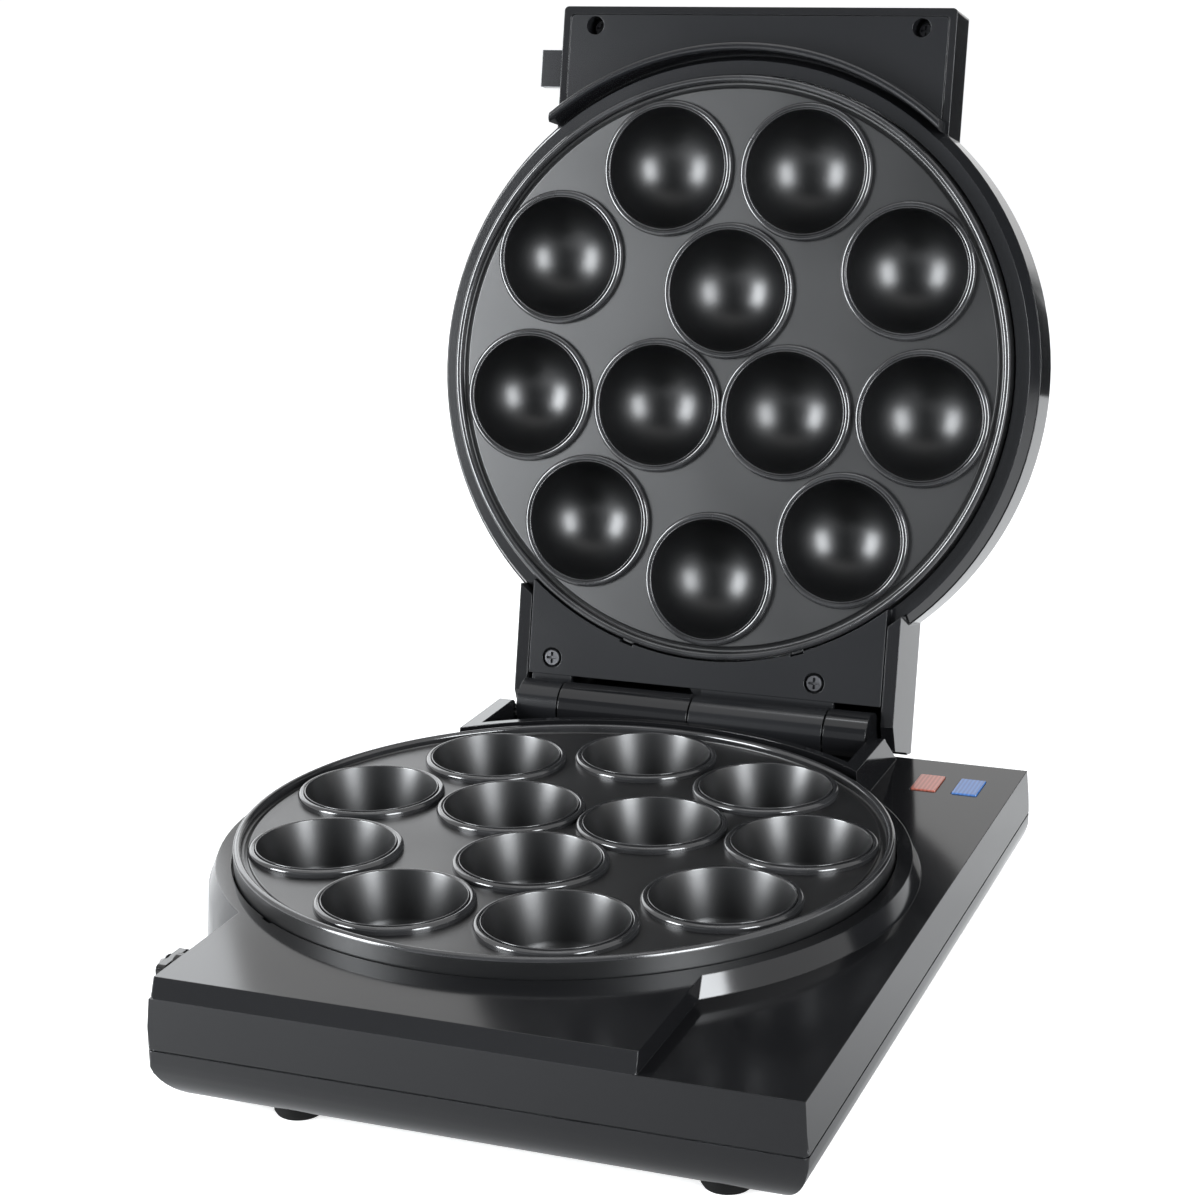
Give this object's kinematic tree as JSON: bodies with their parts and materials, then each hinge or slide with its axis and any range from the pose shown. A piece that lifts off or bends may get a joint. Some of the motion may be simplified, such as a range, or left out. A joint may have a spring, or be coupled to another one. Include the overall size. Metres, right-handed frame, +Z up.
{
  "type": "cake pop maker",
  "caption": "Countertop cake pop maker with a hinged lid, round plates of ball cavities, a side latch and indicator lamps, shown open.",
  "frame": {"origin": "on the table, under the centre of the part's box with the lid standing open", "axes": "+X to the right, towards the shelf with the lamps; +Y to the back, towards the hinge; +Z up"},
  "size_m": [0.2056, 0.3104, 0.256],
  "materials": {
    "housing": "black, high gloss",
    "lid_panel": "black, satin gloss",
    "cooking_plate": "cast, dark non-stick coating, semi-gloss",
    "heating_tube": "oxidised",
    "sheet": "aluminised, bright",
    "screws": "dull",
    "pin_steel": "plain",
    "thermostat": "moulded",
    "ceramic": "off-white",
    "red_lens": "translucent red",
    "blue_lens": "translucent blue",
    "rubber": "matt black"
  },
  "bodies": {
    "base": {"lower_housing": "housing", "upper_housing": "housing", "lower_plate": "cooking_plate", "lower_element": "heating_tube", "lower_reflector": "sheet", "lower_plate_screws": "screws", "lower_reflector_screws": "screws", "thermostat": "thermostat", "lower_fuse": "ceramic", "power_lens": "red_lens", "ready_lens": "blue_lens", "lamp_holders": "ceramic", "terminal_block": "ceramic", "case_screws": "screws", "feet": "rubber", "cord_grommet": "rubber", "hinge_pin": "pin_steel", "latch_pivot": "pin_steel"},
    "lid": {"lid_cover": "housing", "lid_frame": "lid_panel", "upper_plate": "cooking_plate", "upper_element": "heating_tube", "upper_reflector": "sheet", "upper_plate_screws": "screws", "upper_reflector_screws": "screws", "upper_fuse": "ceramic", "lid_front_screws": "screws", "lid_rear_screws": "screws", "latch_lug": "lid_panel", "latch_lug_screw": "screws"},
    "lever": {"latch_lever": "housing"}
  },
  "joints": [
    {"name": "lid_hinge", "type": "hinge", "parent": "base", "child": "lid", "pos_m": [-0.00335, 0.07452, 0.04017], "axis": [1, 0, 0], "range_deg": [0, 102.25]},
    {"name": "latch_pivot_joint", "type": "hinge", "parent": "base", "child": "lever", "pos_m": [-0.06915, -0.13753, 0.0337], "axis": [-1, 0, 0], "range_deg": [0, 180]}
  ]
}
